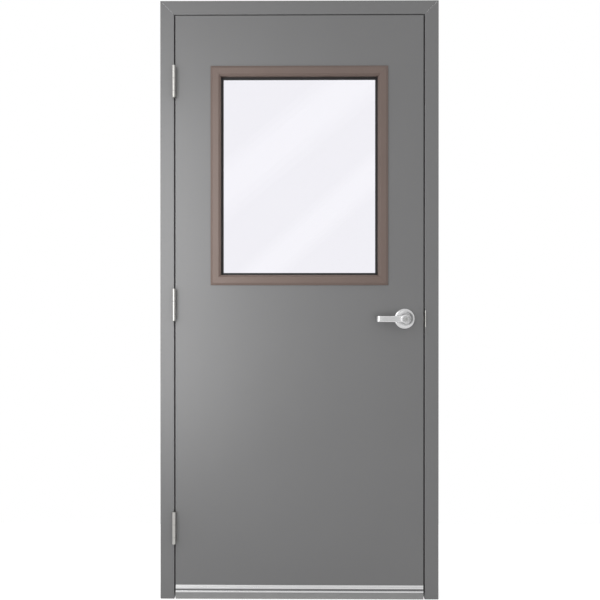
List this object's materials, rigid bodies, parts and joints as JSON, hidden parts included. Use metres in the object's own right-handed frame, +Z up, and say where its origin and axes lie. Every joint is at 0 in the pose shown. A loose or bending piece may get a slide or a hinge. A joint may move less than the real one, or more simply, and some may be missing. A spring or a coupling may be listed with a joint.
{
  "type": "glazed steel door with frame",
  "caption": "Grey hollow-metal door leaf with a framed glass lite and a keyed lever, hung on butt hinges in its folded steel frame, with a sweep along the bottom.",
  "frame": {"origin": "on the finished floor, midway between the jambs, in the plane of the frame's pull-side face", "axes": "+X towards the strike jamb, +Y into the wall away from the pull side, +Z up"},
  "size_m": [1.016, 0.1993, 2.1844],
  "materials": {
    "grey_paint": "satin",
    "inner_steel": "matte",
    "bronze_paint": "satin",
    "satin_steel": "satin",
    "satin_chrome": "satin",
    "lock_steel": "satin",
    "aluminium": "satin",
    "grey_vinyl": "matte",
    "black_rubber": "matte",
    "glass": "gloss"
  },
  "bodies": {
    "frame": {"hinge_jamb": "grey_paint", "strike_jamb": "grey_paint", "head": "grey_paint", "hinge_jamb_clip": "inner_steel", "strike_jamb_clip": "inner_steel", "jamb_hinge_plates": "inner_steel", "strike_reinforcement": "inner_steel", "strike_box": "inner_steel", "strike_plate": "satin_steel", "strike_screws": "satin_steel", "silencers": "black_rubber", "hinge_plugs": "satin_steel", "frame_hinge_screws": "satin_steel", "frame_leaf_top": "satin_steel", "frame_leaf_middle": "satin_steel", "frame_leaf_bottom": "satin_steel", "pin_top": "satin_steel", "pin_middle": "satin_steel", "pin_bottom": "satin_steel", "bearings_top": "lock_steel", "bearings_middle": "lock_steel", "bearings_bottom": "lock_steel"},
    "leaf": {"door_hinge_screws": "satin_steel", "pull_skin": "grey_paint", "push_skin": "grey_paint", "top_channel": "inner_steel", "bottom_channel": "inner_steel", "hinge_side_stiffener": "inner_steel", "lock_side_stiffener": "inner_steel", "lower_stiffeners": "inner_steel", "upper_stiffeners": "inner_steel", "lite_sill_channel": "inner_steel", "lite_head_channel": "inner_steel", "leaf_hinge_plates": "inner_steel", "lock_reinforcement": "inner_steel", "pull_lite_frame": "bronze_paint", "push_lite_frame": "bronze_paint", "glass_pane": "glass", "pull_tape": "black_rubber", "push_tape": "black_rubber", "setting_blocks": "black_rubber", "lite_screws": "bronze_paint", "sweep_retainer": "aluminium", "sweep_fin": "grey_vinyl", "sweep_screws": "aluminium", "lock_chassis": "lock_steel", "latch_case": "satin_steel", "latch_screws": "satin_steel", "outside_rose": "satin_chrome", "inside_rose": "satin_chrome", "door_leaf_top": "satin_steel", "door_leaf_middle": "satin_steel", "door_leaf_bottom": "satin_steel"},
    "outside_handle": {"outside_lever": "satin_chrome", "key_cylinder": "satin_chrome"},
    "inside_handle": {"inside_lever": "satin_chrome"},
    "key_barrel": {"key_plug": "lock_steel"},
    "latch": {"latch_bolt": "lock_steel"},
    "deadlatch": {"deadlatch_plunger": "lock_steel"}
  },
  "joints": [
    {"name": "leaf_swing", "type": "hinge", "parent": "frame", "child": "leaf", "pos_m": [-0.4553, -0.01745, 0], "axis": [0, 0, -1], "range_deg": [0, 180]},
    {"name": "outside_lever_turn", "type": "hinge", "parent": "leaf", "child": "outside_handle", "pos_m": [0.38355, 0.02382, 1.024], "axis": [0, -1, 0], "range_deg": [0, 50], "stiffness_Nm_per_rad": 1.2, "springref_deg": -25.78},
    {"name": "inside_lever_turn", "type": "hinge", "parent": "leaf", "child": "inside_handle", "pos_m": [0.38355, 0.02382, 1.024], "axis": [0, -1, 0], "range_deg": [0, 50], "stiffness_Nm_per_rad": 1.2, "springref_deg": -25.78},
    {"name": "key_turn", "type": "hinge", "parent": "outside_handle", "child": "key_barrel", "pos_m": [0.38355, 0.02382, 1.024], "axis": [0, -1, 0], "range_deg": [0, 90]},
    {"name": "latch_draw", "type": "slide", "parent": "leaf", "child": "latch", "axis": [-1, 0, 0], "range_m": [0, 0.0127]},
    {"name": "deadlatch_push", "type": "slide", "parent": "leaf", "child": "deadlatch", "axis": [-1, 0, 0], "range_m": [0, 0.003], "stiffness_N_per_m": 250, "springref_m": -0.012}
  ],
  "couplings": [
    {"joint": "latch_draw", "follows": "inside_lever_turn", "m_per_rad": 0.01455}
  ]
}
